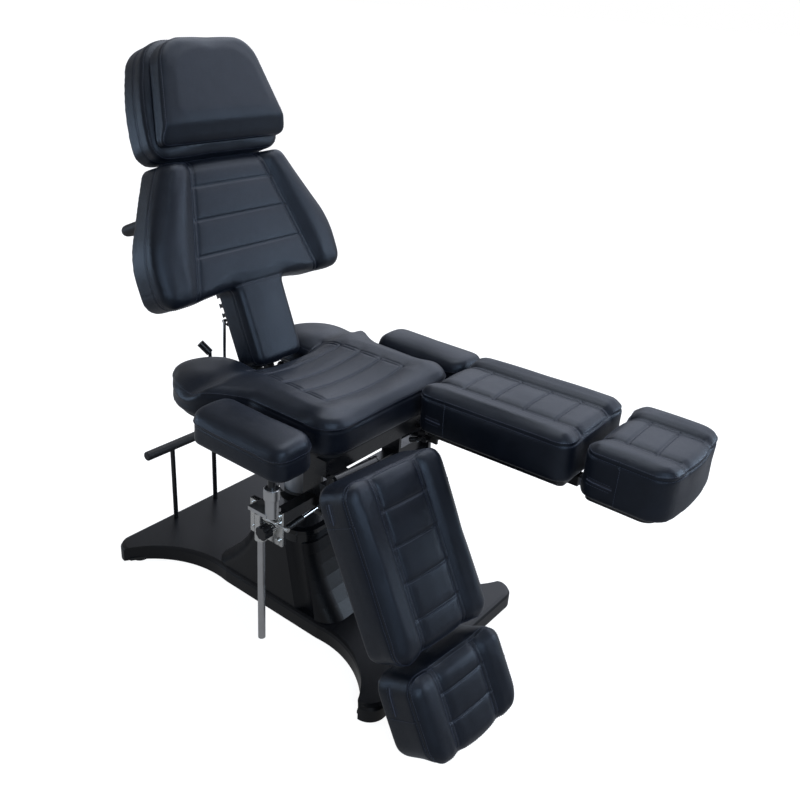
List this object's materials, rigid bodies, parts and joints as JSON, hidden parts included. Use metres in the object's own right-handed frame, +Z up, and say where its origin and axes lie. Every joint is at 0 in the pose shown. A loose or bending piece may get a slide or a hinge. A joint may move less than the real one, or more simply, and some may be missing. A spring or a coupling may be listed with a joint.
{
  "type": "tattoo chair",
  "caption": "Hydraulic reclining tattoo chair with split leg rests, sliding footrests, swinging armrests and an adjustable headrest on a wide floor base.",
  "frame": {"origin": "on the floor at the lift column's axis", "axes": "+Z up, the sitter faces -Y, +X is the sitter's left"},
  "size_m": [0.742, 1.3812, 1.332],
  "materials": {
    "leather": "satin",
    "cover_plastic": "satin",
    "gloss_plastic": "gloss",
    "handle_plastic": "matte",
    "silver_paint": "satin",
    "black_paint": "gloss",
    "chrome": "polished",
    "zinc": "brushed",
    "grip_rubber": "matte",
    "board": "painted black"
  },
  "bodies": {
    "base": {"floor_pads": "grip_rubber", "base_plate": "black_paint", "rear_cover": "cover_plastic", "centre_cover": "cover_plastic", "front_cover": "cover_plastic", "housing_cap": "gloss_plastic", "lift_cylinder": "silver_paint", "pump_unit": "black_paint", "rear_bar": "black_paint", "rear_bar_grip": "grip_rubber", "base_bolts": "zinc"},
    "pedal": {"pedal_lever": "black_paint", "pedal_pad": "grip_rubber"},
    "lift": {"lift_ram": "chrome"},
    "turret": {"swivel_hub": "black_paint", "seat_frame": "black_paint", "seat_board": "board", "seat_cushion": "leather", "arm_crossbar": "black_paint", "arm_brackets": "zinc", "bracket_screws": "zinc", "lock_collar": "black_paint"},
    "lock_lever": {"lock_rod": "chrome", "lock_grip": "handle_plastic"},
    "back": {"back_frame": "black_paint", "back_board": "board", "back_cushion": "leather", "stem_cushion": "leather", "notch_racks": "black_paint", "push_handle": "grip_rubber"},
    "prop": {"prop_rods": "chrome"},
    "recline_lever": {"recline_lever": "black_paint"},
    "head_carriage": {"head_posts": "chrome"},
    "headrest": {"head_board": "board", "head_cushion": "leather", "head_pillow": "leather"},
    "right_arm_carrier": {"right_arm_slider": "chrome"},
    "right_arm": {"right_arm_post": "black_paint", "right_arm_cushion": "leather"},
    "right_knob": {"right_arm_knob": "handle_plastic"},
    "right_pin": {"right_arm_pin": "zinc"},
    "left_arm_carrier": {"left_arm_slider": "chrome"},
    "left_arm": {"left_arm_post": "black_paint", "left_arm_cushion": "leather"},
    "left_knob": {"left_arm_knob": "handle_plastic"},
    "left_pin": {"left_arm_pin": "zinc"},
    "right_yoke": {"right_leg_yoke": "black_paint"},
    "right_lock": {"right_leg_lock": "handle_plastic"},
    "right_leg": {"right_leg_frame": "black_paint", "right_leg_cushion": "leather"},
    "right_foot_slide": {"right_foot_slide": "chrome"},
    "right_foot": {"right_foot_bracket": "black_paint", "right_foot_cushion": "leather"},
    "left_yoke": {"left_leg_yoke": "black_paint"},
    "left_lock": {"left_leg_lock": "handle_plastic"},
    "left_leg": {"left_leg_frame": "black_paint", "left_leg_cushion": "leather"},
    "left_foot_slide": {"left_foot_slide": "chrome"},
    "left_foot": {"left_foot_bracket": "black_paint", "left_foot_cushion": "leather"}
  },
  "joints": [
    {"name": "lift", "type": "slide", "parent": "base", "child": "lift", "axis": [0, 0, 1], "range_m": [0, 0.2]},
    {"name": "swivel", "type": "hinge", "parent": "lift", "child": "turret", "pos_m": [0, 0, 0.49], "axis": [0, 0, 1], "continuous": true},
    {"name": "pump_pedal", "type": "hinge", "parent": "base", "child": "pedal", "pos_m": [0.122, 0, 0.084], "axis": [0, 1, 0], "range_deg": [0, 15], "stiffness_Nm_per_rad": 30},
    {"name": "swivel_lock", "type": "hinge", "parent": "turret", "child": "lock_lever", "pos_m": [-0.12, -0.17, 0.353], "axis": [0, 0, 1], "range_deg": [-25, 25]},
    {"name": "back_recline", "type": "hinge", "parent": "turret", "child": "back", "pos_m": [0, 0.1376, 0.56], "axis": [-1, 0, 0], "range_deg": [-8, 66.5]},
    {"name": "prop_swing", "type": "hinge", "parent": "turret", "child": "prop", "pos_m": [0, 0.2426, 0.516], "axis": [-1, 0, 0], "range_deg": [-10.9, 89.9]},
    {"name": "recline_lever", "type": "hinge", "parent": "turret", "child": "recline_lever", "pos_m": [-0.07, 0.2426, 0.516], "axis": [-1, 0, 0], "range_deg": [0, 20]},
    {"name": "headrest_slide", "type": "slide", "parent": "back", "child": "head_carriage", "axis": [0, 0.3987, 0.9171], "range_m": [0, 0.1]},
    {"name": "headrest_tilt", "type": "hinge", "parent": "head_carriage", "child": "headrest", "pos_m": [0, 0.39029, 1.09349], "axis": [-1, 0, 0], "range_deg": [0, 35]},
    {"name": "right_arm_lift", "type": "slide", "parent": "turret", "child": "right_arm_carrier", "axis": [0, 0, 1], "range_m": [0, 0.12]},
    {"name": "right_arm_swing", "type": "hinge", "parent": "right_arm_carrier", "child": "right_arm", "pos_m": [-0.313, -0.205, 0.502], "axis": [0, 0, 1], "range_deg": [0, 90]},
    {"name": "right_arm_knob", "type": "hinge", "parent": "turret", "child": "right_knob", "pos_m": [-0.322, -0.192, 0.388], "axis": [-1, 0, 0], "range_deg": [0, 360]},
    {"name": "right_arm_pin", "type": "slide", "parent": "turret", "child": "right_pin", "axis": [0, -1, 0], "range_m": [0, 0.008]},
    {"name": "left_arm_lift", "type": "slide", "parent": "turret", "child": "left_arm_carrier", "axis": [0, 0, 1], "range_m": [0, 0.12]},
    {"name": "left_arm_swing", "type": "hinge", "parent": "left_arm_carrier", "child": "left_arm", "pos_m": [0.313, -0.205, 0.502], "axis": [0, 0, -1], "range_deg": [0, 90]},
    {"name": "left_arm_knob", "type": "hinge", "parent": "turret", "child": "left_knob", "pos_m": [0.322, -0.192, 0.388], "axis": [1, 0, 0], "range_deg": [0, 360]},
    {"name": "left_arm_pin", "type": "slide", "parent": "turret", "child": "left_pin", "axis": [0, -1, 0], "range_m": [0, 0.008]},
    {"name": "right_leg_spread", "type": "hinge", "parent": "turret", "child": "right_yoke", "pos_m": [-0.17, -0.255, 0.531], "axis": [0, 0, -1], "range_deg": [-5.2, 4.8]},
    {"name": "right_leg_raise", "type": "hinge", "parent": "right_yoke", "child": "right_leg", "pos_m": [-0.17607, -0.32172, 0.535], "axis": [-0.9959, 0.0906, 0], "range_deg": [-2, 61]},
    {"name": "right_leg_lock", "type": "hinge", "parent": "right_yoke", "child": "right_lock", "pos_m": [-0.10283, -0.31132, 0.502], "axis": [0.9959, -0.0906, 0], "range_deg": [-20, 20]},
    {"name": "right_foot_extend", "type": "slide", "parent": "right_leg", "child": "right_foot_slide", "axis": [-0.0439, -0.4828, -0.8746], "range_m": [0, 0.1]},
    {"name": "right_foot_tilt", "type": "hinge", "parent": "right_foot_slide", "child": "right_foot", "pos_m": [-0.19365, -0.51485, 0.18515], "axis": [0.9959, -0.0906, 0], "range_deg": [-7.5, 30.5]},
    {"name": "left_leg_spread", "type": "hinge", "parent": "turret", "child": "left_yoke", "pos_m": [0.17, -0.255, 0.531], "axis": [0, 0, 1], "range_deg": [-0.5, 9.5]},
    {"name": "left_leg_raise", "type": "hinge", "parent": "left_yoke", "child": "left_leg", "pos_m": [0.17058, -0.322, 0.535], "axis": [-1, -0.0087, 0], "range_deg": [-62, 2]},
    {"name": "left_leg_lock", "type": "hinge", "parent": "left_yoke", "child": "left_lock", "pos_m": [0.09844, -0.30563, 0.502], "axis": [1, 0.0087, 0], "range_deg": [-20, 20]},
    {"name": "left_foot_extend", "type": "slide", "parent": "left_leg", "child": "left_foot_slide", "axis": [0.0087, -0.9997, 0.0209], "range_m": [0, 0.1]},
    {"name": "left_foot_tilt", "type": "hinge", "parent": "left_foot_slide", "child": "left_foot", "pos_m": [0.17408, -0.72189, 0.54338], "axis": [1, 0.0087, 0], "range_deg": [-9.5, 28.5]}
  ],
  "couplings": [
    {"joint": "prop_swing", "follows": "back_recline", "ratio": 1.35}
  ]
}
